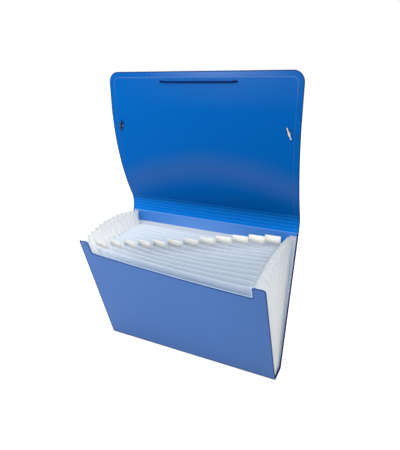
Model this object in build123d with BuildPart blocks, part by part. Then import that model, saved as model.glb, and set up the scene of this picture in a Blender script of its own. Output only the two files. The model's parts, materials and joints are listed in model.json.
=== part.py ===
"""Accordion file: a scored plastic cover that fans open over film pockets, with an elastic on its flap."""

import os
from math import cos, radians, sin, tan

from build123d import *

# Cover sheet, in millimetres and degrees
cover_width = 330.0
sheet_thickness = 0.8
base_depth = 34.0
front_height = 230.0
back_height = 237.0
front_lean = 21.7
back_lean = -12.7

# Score lines, cut from both faces of the sheet
score_angle = 60.0
score_gap = 0.1

# Thumb notch in the front panel
ear_width = 20.0
notch_depth = 23.0
notch_corner = 4.5
ear_corner = 4.0

# Spine strips, each with its own lean at rest
strip_width = 6.0
strip_leans = (-10.0, -5.0, 0.0, 8.0, 18.0)

# Flap, which curves from its first lean to its last and then runs straight
flap_first_lean = 30.0
flap_last_lean = 2.0
flap_curve = 185.0
flap_tail = 48.0
flap_corner = 17.0

# Embossed line round the free edges of the flap
border_inset = 8.5
border_width = 1.2
border_depth = 0.2
border_start = 12.0

# Elastic cord and the metal bars on its ends
cord_diameter = 2.5
cord_sides = 10
cord_bend = 2.5
cord_hole = 4.0
cord_hole_spread = 130.0
cord_hole_inset = 15.0
anchor_hole = 3.4
anchor_edge = 17.0
anchor_inset = 87.0
inside_lift = 0.15
outside_lift = 0.5
cord_slant_offset = 0.8
bar_diameter = 2.4
bar_length = 19.0
bar_chamfer = 0.8
crimp_diameter = 4.0
crimp_length = 6.0
crimp_seat = 0.05
crimp_bite = 1.6
crimp_fit = 0.05
left_bar_tilt = -11.0
right_bar_tilt = 22.0

# Pockets and their dividers
pocket_count = 13
divider_thickness = 0.35
divider_drop = 18.0
divider_corner = 4.0
floor_gap = 0.4

# Tab sleeves and their paper labels
tab_width = 28.0
tab_rise = 18.0
tab_lap = 10.0
tab_corner = 1.5
tab_end_inset = 14.2
sleeve_wall = 0.15
sleeve_room = 0.25
sleeve_fold = 0.6
label_height = 13.0
label_thickness = 0.2
label_end_gap = 0.5
label_slip = 0.4

# Pleated side gussets
gusset_thickness = 0.22
gusset_margin = 2.5
pleat_depth = 22.0
gusset_drop = 2.0
flange_width = 11.0
flange_gap = 0.1
seam_gap = 0.3

# Film liners welded on the inside of the front and back cover
liner_thickness = 0.2
liner_side_gap = 0.4
liner_foot = 4.0
liner_rim = 2.0
liner_drop = 20.0

# Values that follow from the ones above
half_width = cover_width / 2
half_sheet = sheet_thickness / 2
half_base = base_depth / 2
score_run = half_sheet * tan(radians(score_angle))
divider_count = pocket_count - 1
hinge_height = sheet_thickness + floor_gap
fold_outside = half_width - gusset_margin
fold_inside = fold_outside - pleat_depth
divider_width = 2 * (fold_inside - seam_gap)
divider_height = front_height - divider_drop
flange_end = fold_outside - flange_width
liner_width = 2 * (flange_end - liner_side_gap)
liner_depth = half_sheet + flange_gap
flap_length = flap_curve + flap_tail
flap_bend = radians(flap_first_lean - flap_last_lean)
flap_radius = flap_curve / flap_bend


def along(lean):
    """Direction up a panel that leans forward by this angle."""
    return Vector(0, -sin(radians(lean)), cos(radians(lean)))


def across(lean):
    """Direction square to such a panel, towards the front."""
    return Vector(0, -cos(radians(lean)), -sin(radians(lean)))


def panel_plane(start, lean):
    """Plane of a panel: X across the file, Y up the panel, Z towards the front."""
    return Plane(origin=start, x_dir=(1, 0, 0), z_dir=across(lean))


def side_view(point):
    """Coordinates of a point on the YZ plane."""
    return (point.Y, point.Z)


def scored_end(score, lean, inward):
    """Three corners of a sheet that tapers to a score line from both faces."""
    tip = score + along(lean) * inward * score_gap / 2
    shoulder = tip + along(lean) * inward * score_run
    return (shoulder + across(lean) * half_sheet, tip, shoulder - across(lean) * half_sheet)


def strip_section(score, lean, length):
    """Side outline of a flat sheet between two score lines."""
    front_foot, foot, back_foot = scored_end(score, lean, 1)
    front_head, head, back_head = scored_end(score + along(lean) * length, lean, -1)
    return [side_view(p) for p in (foot, front_foot, front_head, head, back_head, back_foot)]


def export(builder, name):
    """Label a finished piece and write it to its own file."""
    builder.part.label = name
    export_step(builder.part, f"parts/{name}.step")


os.makedirs("parts", exist_ok=True)

front_score = Vector(0, -half_base, half_sheet)
back_score = Vector(0, half_base, half_sheet)
front_panel = panel_plane(front_score, front_lean)

# Base strip
with BuildPart() as base_strip:
    with BuildSketch(Plane.YZ):
        with BuildLine():
            Polyline(*strip_section(back_score, 90, base_depth), close=True)
        make_face()
    extrude(amount=half_width, both=True)
export(base_strip, "base_strip")

# Front cover, a scored panel trimmed to the notch and its ears
front_foot, foot_tip, back_foot = scored_end(front_score, front_lean, 1)
front_top = front_score + along(front_lean) * front_height
top_half = across(front_lean) * half_sheet
front_corners = (foot_tip, front_foot, front_top + top_half, front_top - top_half, back_foot)
with BuildPart() as front_cover:
    with BuildSketch(Plane.YZ):
        with BuildLine():
            Polyline(*[side_view(p) for p in front_corners], close=True)
        make_face()
    extrude(amount=half_width, both=True)
    with BuildSketch(front_panel):
        Rectangle(cover_width, front_height, align=(Align.CENTER, Align.MIN))
        with Locations((0, front_height)):
            Rectangle(
                cover_width - 2 * ear_width,
                notch_depth,
                align=(Align.CENTER, Align.MAX),
                mode=Mode.SUBTRACT,
            )
        fillet(vertices().group_by(Axis.Y)[1], radius=notch_corner)
        fillet(vertices().group_by(Axis.Y)[-1], radius=ear_corner)
    extrude(amount=sheet_thickness, both=True, mode=Mode.INTERSECT)
export(front_cover, "front_cover")

# Front liner, which stands a little over the edge of the notch and the ears
with BuildPart() as front_liner:
    with BuildSketch(front_panel.offset(-liner_depth)):
        with Locations((0, liner_foot)):
            Rectangle(liner_width, front_height + liner_rim - liner_foot, align=(Align.CENTER, Align.MIN))
        with Locations((0, front_height + liner_rim)):
            Rectangle(
                cover_width - 2 * (ear_width + liner_rim),
                notch_depth,
                align=(Align.CENTER, Align.MAX),
                mode=Mode.SUBTRACT,
            )
        fillet(vertices().group_by(Axis.Y)[1], radius=notch_corner - liner_rim)
    extrude(amount=-liner_thickness)
export(front_liner, "front_liner")

# Back cover
with BuildPart() as back_cover:
    with BuildSketch(Plane.YZ):
        with BuildLine():
            Polyline(*strip_section(back_score, back_lean, back_height), close=True)
        make_face()
    extrude(amount=half_width, both=True)
export(back_cover, "back_cover")

# Back liner, which ends below the spine
with BuildPart() as back_liner:
    with BuildSketch(panel_plane(back_score, back_lean).offset(liner_depth)):
        with Locations((0, liner_foot)):
            Rectangle(liner_width, back_height - liner_drop - liner_foot, align=(Align.CENTER, Align.MIN))
    extrude(amount=liner_thickness)
export(back_liner, "back_liner")

# Spine strips, one above the other from score to score
strip_score = back_score + along(back_lean) * back_height
for number, strip_lean in enumerate(strip_leans, start=1):
    with BuildPart() as spine_strip:
        with BuildSketch(Plane.YZ):
            with BuildLine():
                Polyline(*strip_section(strip_score, strip_lean, strip_width), close=True)
            make_face()
        extrude(amount=half_width, both=True)
    export(spine_strip, f"spine_strip_{number}")
    strip_score = strip_score + along(strip_lean) * strip_width

flap_score = strip_score
flap_centre = flap_score - across(flap_first_lean) * flap_radius


def flap_lean(distance):
    """Lean of the flap at a distance up its sheet from its score line."""
    return flap_first_lean - (flap_first_lean - flap_last_lean) * min(distance / flap_curve, 1)


def flap_point(distance, lift=0.0, x=0.0):
    """Point at a distance up the flap, lifted off its middle towards the front."""
    lean = flap_lean(distance)
    straight = max(distance - flap_curve, 0)
    middle = flap_centre + across(lean) * (flap_radius + lift) + along(lean) * straight
    return Vector(x, middle.Y, middle.Z)


def flap_section(front_lift, back_lift, start):
    """Draw the closed side outline of the flap between two lifts off its middle."""
    starts = [side_view(flap_point(start, lift)) for lift in (front_lift, back_lift)]
    middles = [side_view(flap_point((start + flap_curve) / 2, lift)) for lift in (front_lift, back_lift)]
    bends = [side_view(flap_point(flap_curve, lift)) for lift in (front_lift, back_lift)]
    ends = [side_view(flap_point(flap_length, lift)) for lift in (front_lift, back_lift)]
    ThreePointArc(starts[0], middles[0], bends[0])
    Polyline(bends[0], ends[0], ends[1], bends[1])
    ThreePointArc(bends[1], middles[1], starts[1])
    return starts


# Embossed line, a thin layer of the inner face trimmed to a frame open at the spine
border_foot = flap_point(border_start).Z
border_head = flap_point(flap_length - border_inset).Z
with BuildPart() as flap_border:
    with BuildSketch(Plane.YZ):
        with BuildLine():
            Line(*flap_section(half_sheet + border_depth, half_sheet - border_depth, border_start))
        make_face()
    extrude(amount=half_width, both=True)
    with BuildSketch(Plane.XZ.offset(-flap_score.Y)):
        for inset, mode in ((0, Mode.ADD), (border_width, Mode.SUBTRACT)):
            with BuildSketch(mode=mode):
                with Locations((0, border_head - inset)):
                    Rectangle(
                        cover_width - 2 * (border_inset + inset),
                        border_head - inset - border_foot,
                        align=(Align.CENTER, Align.MAX),
                    )
                corners = vertices().group_by(Axis.Y)[-1]
                fillet(corners, radius=flap_corner - border_inset - inset)
    extrude(amount=flap_length, both=True, mode=Mode.INTERSECT)

# Flap
cord_hole_at = flap_length - cord_hole_inset
anchor_at = flap_length - anchor_inset
hole_x = cord_hole_spread / 2
anchor_x = half_width - anchor_edge
with BuildPart() as flap:
    with BuildSketch(Plane.YZ):
        with BuildLine():
            flap_tip = scored_end(flap_score, flap_first_lean, 1)[1]
            flap_foot = flap_section(half_sheet, -half_sheet, score_run + score_gap / 2)
            Polyline(flap_foot[1], side_view(flap_tip), flap_foot[0])
        make_face()
    extrude(amount=half_width, both=True)
    free_edge = faces().sort_by(Axis.Z)[-1].edges().sort_by(Axis.X)
    fillet([free_edge[0], free_edge[-1]], radius=flap_corner)
    holes = ((cord_hole_at, hole_x, cord_hole), (anchor_at, anchor_x, anchor_hole))
    for distance, hole_side, diameter in holes:
        with BuildSketch(panel_plane(flap_point(distance), flap_lean(distance))):
            with Locations((-hole_side, 0), (hole_side, 0)):
                Circle(diameter / 2)
        extrude(amount=sheet_thickness, both=True, mode=Mode.SUBTRACT)
    add(flap_border.part, mode=Mode.SUBTRACT)
export(flap, "flap")

# Elastic cord: out through an anchor hole, along the outer face, across the inner face, and back
inside_run = half_sheet + cord_diameter / 2 + inside_lift
outside_run = -half_sheet - cord_diameter / 2 - outside_lift
crimp_height = half_sheet + crimp_seat + crimp_diameter / 2
cord_end = half_sheet + crimp_seat + crimp_bite
run_angle = Vector(anchor_x - hole_x, anchor_at - cord_hole_at, 0).normalized()
half_route = [
    flap_point(anchor_at, cord_end, anchor_x),
    flap_point(anchor_at, outside_run, anchor_x),
    flap_point(
        cord_hole_at + cord_slant_offset * run_angle.Y,
        outside_run,
        hole_x + cord_slant_offset * run_angle.X,
    ),
    flap_point(cord_hole_at, inside_run, hole_x - cord_slant_offset),
]
route = half_route + [Vector(-p.X, p.Y, p.Z) for p in reversed(half_route)]
with BuildPart() as elastic_cord:
    with BuildLine():
        cord_path = FilletPolyline(*route, radius=cord_bend)
    with BuildSketch(Plane(origin=cord_path @ 0, z_dir=cord_path % 0)):
        RegularPolygon(cord_diameter / 2, cord_sides)
    sweep()
export(elastic_cord, "elastic_cord")
print("elastic cord length", round(cord_path.length, 1))

# Metal bars with a crimp barrel that bites the end of the cord
anchor_plane = panel_plane(flap_point(anchor_at), flap_lean(anchor_at))
for name, side, tilt in (("t_bar_left", -1, left_bar_tilt), ("t_bar_right", 1, right_bar_tilt)):
    seat = anchor_plane.shift_origin(anchor_plane.from_local_coords((side * anchor_x, 0, 0)))
    barrel = seat.offset(crimp_height).rotated((0, 0, tilt)).rotated((90, 0, 0))
    with BuildPart() as t_bar:
        with BuildSketch(barrel):
            Circle(bar_diameter / 2)
        extrude(amount=bar_length / 2, both=True)
        chamfer(edges().filter_by(GeomType.CIRCLE), length=bar_chamfer)
        with BuildSketch(barrel):
            Circle(crimp_diameter / 2)
        extrude(amount=crimp_length / 2, both=True)
        with BuildSketch(seat):
            Circle(cord_diameter / 2 + crimp_fit)
        extrude(amount=cord_end + crimp_fit, mode=Mode.SUBTRACT)
    export(t_bar, name)

# Dividers, with a sleeve on the front of each and a label in the sleeve
tab_reach = divider_width / 2 - tab_end_inset
label_room = label_height + label_slip
for number in range(1, divider_count + 1):
    share = number / pocket_count
    lean = front_lean + (back_lean - front_lean) * share
    hinge = Vector(0, -half_base + base_depth * share, hinge_height)
    film_plane = panel_plane(hinge, lean)
    tab_x = tab_reach * (2 * (number - 1) / (divider_count - 1) - 1)
    tab_head = divider_height + tab_rise

    with BuildPart() as divider:
        with BuildSketch(film_plane):
            Rectangle(divider_width, divider_height, align=(Align.CENTER, Align.MIN))
            fillet(vertices().group_by(Axis.Y)[-1], radius=divider_corner)
        extrude(amount=divider_thickness / 2, both=True)
    export(divider, f"divider_{number:02d}")

    with BuildPart() as tab_sleeve:
        with BuildSketch(film_plane.offset(divider_thickness / 2)):
            with Locations((tab_x, tab_head)):
                Rectangle(tab_width, tab_rise + tab_lap, align=(Align.CENTER, Align.MAX))
            fillet(vertices().group_by(Axis.Y)[-1], radius=tab_corner)
        extrude(amount=2 * sleeve_wall)
        with BuildSketch(film_plane.offset(divider_thickness / 2)):
            with Locations((tab_x, tab_head)):
                Rectangle(tab_width, label_room + 2 * sleeve_fold, align=(Align.CENTER, Align.MAX))
            fillet(vertices().group_by(Axis.Y)[-1], radius=tab_corner)
        extrude(amount=2 * sleeve_wall + sleeve_room)
        with BuildSketch(film_plane.offset(divider_thickness / 2 + sleeve_wall)):
            with Locations((tab_x, tab_head - sleeve_fold)):
                Rectangle(tab_width, label_room, align=(Align.CENTER, Align.MAX))
        extrude(amount=sleeve_room, mode=Mode.SUBTRACT)
    export(tab_sleeve, f"tab_sleeve_{number:02d}")

    with BuildPart() as label:
        with BuildSketch(film_plane.offset(divider_thickness / 2 + sleeve_wall)):
            with Locations((tab_x, tab_head - sleeve_fold - label_slip / 2)):
                Rectangle(tab_width - 2 * label_end_gap, label_height, align=(Align.CENTER, Align.MAX))
        extrude(amount=label_thickness)
    export(label, f"label_{number:02d}")


def fan_y(place, height):
    """Y of the fan at a height, at a place from the front cover (0) to the back cover (1)."""
    lean = front_lean + (back_lean - front_lean) * place
    return -half_base + base_depth * place - (height - hinge_height) * tan(radians(lean))


def flange_y(place, score, lean, height):
    """Y of a gusset flange's two faces at a height, the one on the cover first."""
    inward = 1 if place == 0 else -1
    cover = score.Y - (height - score.Z) * tan(radians(lean))
    near = half_sheet + flange_gap
    return [cover + inward * depth / cos(radians(lean)) for depth in (near, near + gusset_thickness)]


def pleat_outline(height):
    """Closed outline of the pleated film in plan at a height: flange, pleats, flange."""
    half_pitch = fan_y(1.5 / pocket_count, height) - fan_y(1 / pocket_count, height)
    fold = pleat_depth * gusset_thickness / (gusset_thickness + half_pitch)
    front_face, front_back = flange_y(0, front_score, front_lean, height)
    back_face, back_front = flange_y(1, back_score, back_lean, height)
    outer = [(flange_end, front_face), (fold_outside, front_face), (fold_outside, front_back)]
    inner = [(flange_end, front_back), (fold_outside - fold, front_back)]
    for number in range(1, divider_count + 1):
        inside = fan_y(number / pocket_count, height)
        outer.append((fold_inside + fold, inside))
        inner.append((fold_inside, inside))
        if number < divider_count:
            outside = fan_y((number + 0.5) / pocket_count, height)
            outer.append((fold_outside, outside))
            inner.append((fold_outside - fold, outside))
    outer += [(fold_outside, back_front), (fold_outside, back_face), (flange_end, back_face)]
    inner += [(fold_outside - fold, back_front), (flange_end, back_front)]
    return outer + inner[::-1]


def fold_tops(front_length, back_length):
    """Points of the arc of the pleat tops in the side view: front, middle and back."""
    middle_lean = (front_lean + back_lean) / 2
    return (
        front_score + along(front_lean) * front_length,
        Vector(0, 0, half_sheet) + along(middle_lean) * (front_length + back_length) / 2,
        back_score + along(back_lean) * back_length,
    )


# Gussets, lofted from the floor, trimmed along the fan, and cut down to the dividers at their inner folds
front_rise = front_height - gusset_drop
back_rise = back_height - gusset_drop
trim_points = fold_tops(front_rise, back_rise)
film_head = max(p.Z for p in trim_points) + gusset_drop
with BuildPart() as right_gusset:
    for height in (hinge_height, film_head):
        with BuildSketch(Plane.XY.offset(height)):
            with BuildLine():
                Polyline(*pleat_outline(height), close=True)
            make_face()
    loft(ruled=True)
    with BuildSketch(Plane.YZ):
        with BuildLine():
            trim_front, trim_middle, trim_back = [side_view(p) for p in trim_points]
            ThreePointArc(trim_front, trim_middle, trim_back)
            trim_feet = (trim_back[0] + base_depth, 0), (trim_front[0] - base_depth, 0)
            Polyline(trim_back, *trim_feet, trim_front)
        make_face()
    extrude(amount=cover_width, mode=Mode.INTERSECT)
    for slope_x, front_low, back_low in (
        (fold_inside, divider_height, divider_height),
        (flange_end, front_rise, back_rise),
    ):
        with BuildSketch(Plane.YZ.offset(slope_x)):
            with BuildLine():
                slope_points = fold_tops(front_low, back_low)
                slope_front, slope_middle, slope_back = [side_view(p) for p in slope_points]
                ThreePointArc(slope_front, slope_middle, slope_back)
                back_above = slope_points[2] + along(back_lean) * base_depth
                front_above = slope_points[0] + along(front_lean) * base_depth
                Polyline(slope_back, side_view(back_above), side_view(front_above), slope_front)
            make_face()
    loft(ruled=True, mode=Mode.SUBTRACT)
export(right_gusset, "right_gusset")

with BuildPart() as left_gusset:
    mirror(right_gusset.part, about=Plane.YZ)
export(left_gusset, "left_gusset")
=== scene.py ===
"""Looks of an accordion file: film pockets, pleats, creases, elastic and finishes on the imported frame."""

import json
from math import cos, pi, radians, sin, sqrt, tan

import bmesh
import bpy
from bpy.props import FloatProperty, FloatVectorProperty, IntProperty, PointerProperty
from bpy.types import Operator, Panel, PropertyGroup
from mathutils import Matrix, Vector


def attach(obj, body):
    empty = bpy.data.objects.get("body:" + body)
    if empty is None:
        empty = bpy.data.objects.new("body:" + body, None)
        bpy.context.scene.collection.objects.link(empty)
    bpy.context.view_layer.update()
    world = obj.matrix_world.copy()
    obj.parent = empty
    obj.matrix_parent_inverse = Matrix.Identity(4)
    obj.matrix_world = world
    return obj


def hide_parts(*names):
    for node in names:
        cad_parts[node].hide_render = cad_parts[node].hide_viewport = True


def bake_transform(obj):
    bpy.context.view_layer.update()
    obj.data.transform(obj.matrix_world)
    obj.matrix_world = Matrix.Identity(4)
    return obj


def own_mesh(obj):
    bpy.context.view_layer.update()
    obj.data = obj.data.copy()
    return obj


bl_info = {
    "name": "Accordion File",
    "version": (1, 0, 0),
    "blender": (4, 5, 0),
    "location": "View3D > Sidebar > Accordion File",
    "description": "Film pockets, pleats, creases, elastic and finishes for a scored sheet file",
    "category": "Object",
}

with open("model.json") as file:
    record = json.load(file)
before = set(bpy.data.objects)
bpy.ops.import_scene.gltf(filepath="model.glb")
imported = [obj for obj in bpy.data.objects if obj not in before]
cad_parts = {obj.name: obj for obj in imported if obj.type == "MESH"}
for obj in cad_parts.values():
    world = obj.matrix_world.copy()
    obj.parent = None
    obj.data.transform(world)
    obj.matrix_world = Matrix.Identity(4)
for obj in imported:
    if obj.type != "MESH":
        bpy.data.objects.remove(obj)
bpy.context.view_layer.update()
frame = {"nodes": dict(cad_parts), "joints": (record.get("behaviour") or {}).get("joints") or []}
hinges = {joint["name"]: Vector(joint["pos_m"]) for joint in frame["joints"]}
dividers = sorted(node for node in frame["nodes"] if node.startswith("divider_"))
spine_strips = sorted(node for node in frame["nodes"] if node.startswith("spine_strip_"))
sideways = Vector((1, 0, 0))
# Lean in degrees of each strip of the spine, from the back cover up to the flap
strip_leans = (-10.0, -5.0, 0.0, 8.0, 18.0)
# Shares of bend handed to flatten_with_fan for the cover, a divider and a pleat
shut_cover, shut_divider, shut_pleat = 0.03, 0.08, 0.075
# Slices across and up a panel that bows, and a panel of a pleat
panel_slices, pleat_slices = (24, 10), (14, 12)
# How far from its divider towards its outer fold lies the foot point that a pleat hands to flatten_with_fan
fold_share = 0.8
# Place in the fan from which the right gusset's top sinks, and seat of a flange in film thicknesses
drop_start, flange_seat = 0.4, 1.2
# Power by which a panel's bow grows towards its upper edge
bow_power = 1.5
# From the divider's middle to the back wall, the fold and the front wall of a tab's sleeve
sleeve_walls = (0.00032, 0.0005, 0.00075)
# Heights of the fold over a label and of the closed seam under it
sleeve_fold, sleeve_seam = 0.0006, 0.0012
# From the divider's middle to a label, how far the label bows, and its gap to the fold
label_set, label_bow, label_slip = 0.00052, 0.00002, 0.0003
# From the sheet's side to the end of a crease web, and the gap under a pleat's film
crease_inset, pleat_foot = 0.0001, 0.001
# Share of a divider's height at which its darker edge line begins, partly the film's cut edge and partly
# painted shade
film_rim = 0.991


def length(name, description, default):
    """A size that a user may change, in metres."""
    return FloatProperty(name=name, description=description, default=default, unit="LENGTH", precision=5)


def angle(name, description, degrees):
    """An angle that a user may change."""
    return FloatProperty(name=name, description=description, default=radians(degrees), subtype="ANGLE")


def colour(name, description, default):
    """A linear colour that a user may change."""
    return FloatVectorProperty(
        name=name, description=description, default=default, subtype="COLOR", size=3, min=0, max=1
    )


def power(name, description, default):
    """Power of a light that a user may change."""
    return FloatProperty(name=name, description=description, default=default, unit="POWER")


class FileSizes(PropertyGroup):
    """Sizes of the pieces that are built on the frame."""

    half_width: length("Half width", "Half the width of the cover", 0.165)
    half_sheet: length("Half sheet", "Half the thickness of the cover sheet", 0.0004)
    front_lean: angle("Front lean", "How far the front cover leans forward", 21.7)
    front_twist: angle("Front twist", "How much further the front leans at its right edge", 2.85)
    half_liner: length("Half liner", "Half the thickness of the film that lines the front cover", 0.0001)
    front_bow: length("Front bow", "How far the front cover's upper edge bows forward", 0.003)
    # The front rim is a band of painted shade round the front cover's edge
    front_rim: length("Front rim", "Width of the pressed rim round the front cover", 0.0019)
    back_lean: angle("Back lean", "How far the back cover leans forward, negative for backward", -12.7)
    strip_width: length("Strip width", "Width of one strip of the spine", 0.006)
    crease_reach: length("Crease reach", "How far a crease web runs into each panel", 0.00085)
    crease_web: length("Crease web", "Thickness left in the sheet at a score line", 0.0003)
    flap_first_lean: angle("Flap first lean", "Lean of the flap at the spine", 30.0)
    flap_last_lean: angle("Flap last lean", "Lean of the flap at its free edge", 2.0)
    flap_curve: length("Flap curve", "Length of the curved part of the flap", 0.185)
    flap_length: length("Flap length", "Length of the flap along its sheet", 0.233)
    flap_corner: length("Flap corner", "Radius of the flap's free corners", 0.017)
    cord: length("Cord", "Diameter of the elastic", 0.0025)
    cord_hole_at: length("Cord hole", "From the spine to the cord holes", 0.218)
    cord_hole_side: length("Cord hole side", "From the middle to a cord hole", 0.065)
    cord_slant: length("Cord slant", "How far the elastic shifts as it goes through a hole", 0.0008)
    cord_bunch: length("Cord bunch", "Length over which the elastic bunches up at a hole", 0.0024)
    cord_sag: length("Cord sag", "How far the elastic hangs below its holes", 0.0011)
    anchor_at: length("Anchor", "From the spine to the anchor holes", 0.146)
    anchor_side: length("Anchor side", "From the middle to an anchor hole", 0.148)
    inside_run: length("Inside run", "From the sheet's middle to the elastic on the inner face", 0.0018)
    outside_run: length("Outside run", "From the sheet's middle to the elastic on the outer face", 0.00215)
    border_inset: length("Border inset", "From the flap's edge to its embossed line", 0.0085)
    border_width: length("Border width", "Width of the embossed line", 0.0012)
    film: length("Film", "Thickness of the divider film", 0.00035)
    divider_width: length("Divider width", "Width of a divider between its gussets", 0.2804)
    divider_height: length("Divider height", "Height of a divider along its film", 0.212)
    divider_corner: length("Divider corner", "Radius of a divider's upper corners", 0.004)
    divider_bow: length("Divider bow", "How far the middle divider's upper edge bows forward", 0.015)
    tab_width: length("Tab width", "Width of a tab sleeve", 0.028)
    tab_rise: length("Tab rise", "How far a tab stands over its divider", 0.018)
    tab_lap: length("Tab lap", "How far a tab is welded down over its divider", 0.010)
    tab_end_inset: length("Tab end inset", "From the divider's end to the middle of the first tab", 0.0142)
    label_width: length("Label width", "Width of a paper label", 0.027)
    label_height: length("Label height", "Height of a paper label", 0.013)
    paper: length("Paper", "Thickness of a label", 0.00016)
    sleeve_film: length("Sleeve film", "Thickness of a tab's film", 0.00012)
    pleat_film: length("Pleat film", "Thickness of the gusset film", 0.00022)
    pleat_inside: length("Pleat inside", "From the middle of the file to the inner folds", 0.1405)
    pleat_outside: length("Pleat outside", "From the middle of the file to the outer folds", 0.1625)
    pleat_bow: length("Pleat bow", "How far a pleat's panel bows out between its folds", 0.0006)
    pleat_belly: length("Pleat belly", "How far the left outer folds belly out in mid fan", 0.005)
    pleat_lift: length("Pleat lift", "How far the left outer folds rise in mid fan", 0.002)
    pleat_drop: length("Pleat drop", "How far the right outer folds sink towards the back", 0.0035)
    pleat_corner: length("Pleat corner", "Radius of the upper corners of the outer folds", 0.005)
    pleat_level: length("Pleat level", "How far a pleat's top runs level from its outer fold", 0.011)
    front_rise: length("Front rise", "Length of the fold beside the front cover", 0.228)
    back_rise: length("Back rise", "Length of the fold beside the back cover", 0.235)
    flange_width: length("Flange width", "Width of the strip that is welded on the cover", 0.011)
    pockets: IntProperty(name="Pockets", description="Number of pockets", default=len(dividers) + 1)


class FileColours(PropertyGroup):
    """Colours of the finishes, linear."""

    cover_outer: colour("Cover outside", "Grained outer face of the cover", (0.028, 0.122, 0.378))
    cover_inner: colour("Cover inside", "Smooth inner face of the cover", (0.000, 0.098, 0.385))
    # Painted light: cover_spine and cover_back are the inner blue made lighter, where the strips face up and
    # where the film below lights the back panel, and cover_glow is a painted glow just above the film
    cover_spine: colour("Cover spine", "Inner face of the strips above the back", (0.000, 0.140, 0.525))
    cover_back: colour("Cover back", "Inner face of the back panel, lit by the film", (0.068, 0.240, 0.630))
    cover_glow: colour("Cover glow", "Inner face of the back just above the film", (0.170, 0.330, 0.850))
    # Painted sheen on the flap towards its free edge
    cover_top_sheen: colour("Cover haze", "Flap where it pales towards its free edge", (0.040, 0.135, 0.420))
    cover_gleam: colour("Cover gleam", "Flap where it gleams, above the spine", (0.036, 0.108, 0.330))
    # Embossed line of the flap with a painted highlight, also used as painted sheen on the flap's top border
    cover_line_sheen: colour("Cover line", "Embossed line of the flap", (0.110, 0.210, 0.510))
    # Painted shade: the cut edge of the sheet, darker near the floor
    cover_foot_shade: colour("Cover foot", "Cut edge of the cover sheet near the floor", (0.000, 0.008, 0.085))
    # Dark cut edge of the sheet, also painted as shade in bands along the sheet's edges, round the front
    # cover and at the base creases
    cover_edge_shade: colour("Cover edge", "Cut edge of the cover sheet", (0.008, 0.032, 0.150))
    crease: colour("Crease", "Cover where a score line has paled", (0.110, 0.300, 0.730))
    crease_faint: colour("Faint crease", "Cover at the finer score lines", (0.012, 0.165, 0.560))
    film: colour("Film", "Frosted film of the pockets", (0.850, 0.910, 0.970))
    # Greyer film: painted shade along the dividers' upper edges, the base of the right gusset's front under
    # painted light, and a grey tone in the flange's haze
    film_grey_and_shade: colour("Film edge", "Cut edge of the film, which looks whiter", (0.745, 0.800, 0.850))
    liner: colour("Liner", "Film that lines the back cover", (0.870, 0.930, 0.990))
    front_liner: colour("Front liner", "Film on the front cover, over its blue", (0.520, 0.710, 0.960))
    pleats: colour("Pleats", "Frosted film of the gussets", (0.950, 0.960, 0.965))
    # Painted shade on the gusset film beside the dividers and at the top of the right gusset
    pleat_inner_shade: colour("Pleats inside", "Gusset film beside the dividers", (0.775, 0.820, 0.845))
    pleat_back: colour("Pleats at the back", "Gusset film over the blue of the back", (0.335, 0.465, 0.670))
    sleeve: colour("Sleeve", "Clear film of the tabs", (0.950, 0.960, 0.975))
    paper: colour("Paper", "Label paper", (0.930, 0.905, 0.840))
    # Painted shade on the labels at the left
    paper_shaded: colour("Old paper", "Label paper at the left, which has greyed", (0.690, 0.700, 0.670))
    elastic: colour("Elastic", "Yarn of the elastic", (0.000, 0.007, 0.070))
    metal: colour("Metal", "Nickel of the bars", (0.700, 0.640, 0.560))
    # Painted dark reflection on the left bar
    metal_dark_reflection: colour("Bronze", "Left bar, whose nickel has worn off", (0.060, 0.028, 0.014))


class StageSettings(PropertyGroup):
    """Floor, light and camera."""

    floor: colour("Floor", "Colour of the floor", (0.820, 0.820, 0.820))
    floor_seen: colour("Floor as seen", "Colour of the floor where a ray shows it", (0.400, 0.400, 0.400))
    floor_lift: FloatProperty(name="Floor lift", description="Light added to the floor as seen", default=0.8)
    floor_reach: length("Floor reach", "Half the width of the floor", 6.0)
    floor_drop: length("Floor drop", "How far the floor lies under the file", 0.0003)
    key_power: power("Key light", "Power of the key light", 4.0)
    side_power: power("Side light", "Power of the side light", 6.0)
    top_power: power("Top light", "Power of the top light", 6.0)
    sky: FloatProperty(name="Sky", description="Brightness of the surroundings for soft light", default=1.1)
    azimuth: angle("Azimuth", "Turn of the camera round the file", 25.47)
    elevation: angle("Elevation", "Height of the camera over the horizon", 18.33)
    roll: angle("Roll", "Turn of the camera about its view", 0.54)
    lens: FloatProperty(name="Lens", description="Focal length in millimetres", default=32.36)
    camera_at: FloatVectorProperty(
        name="Camera place", description="Where the camera stands", default=(0.2898, -0.5763, 0.4561),
        subtype="TRANSLATION",
    )


def math_sign(operation, turned=False):
    """Method that adds a Math node on two values, turned round for a number on the left of a minus."""
    return lambda self, other: self.math(operation, *((other, self) if turned else (self, other)))


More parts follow.
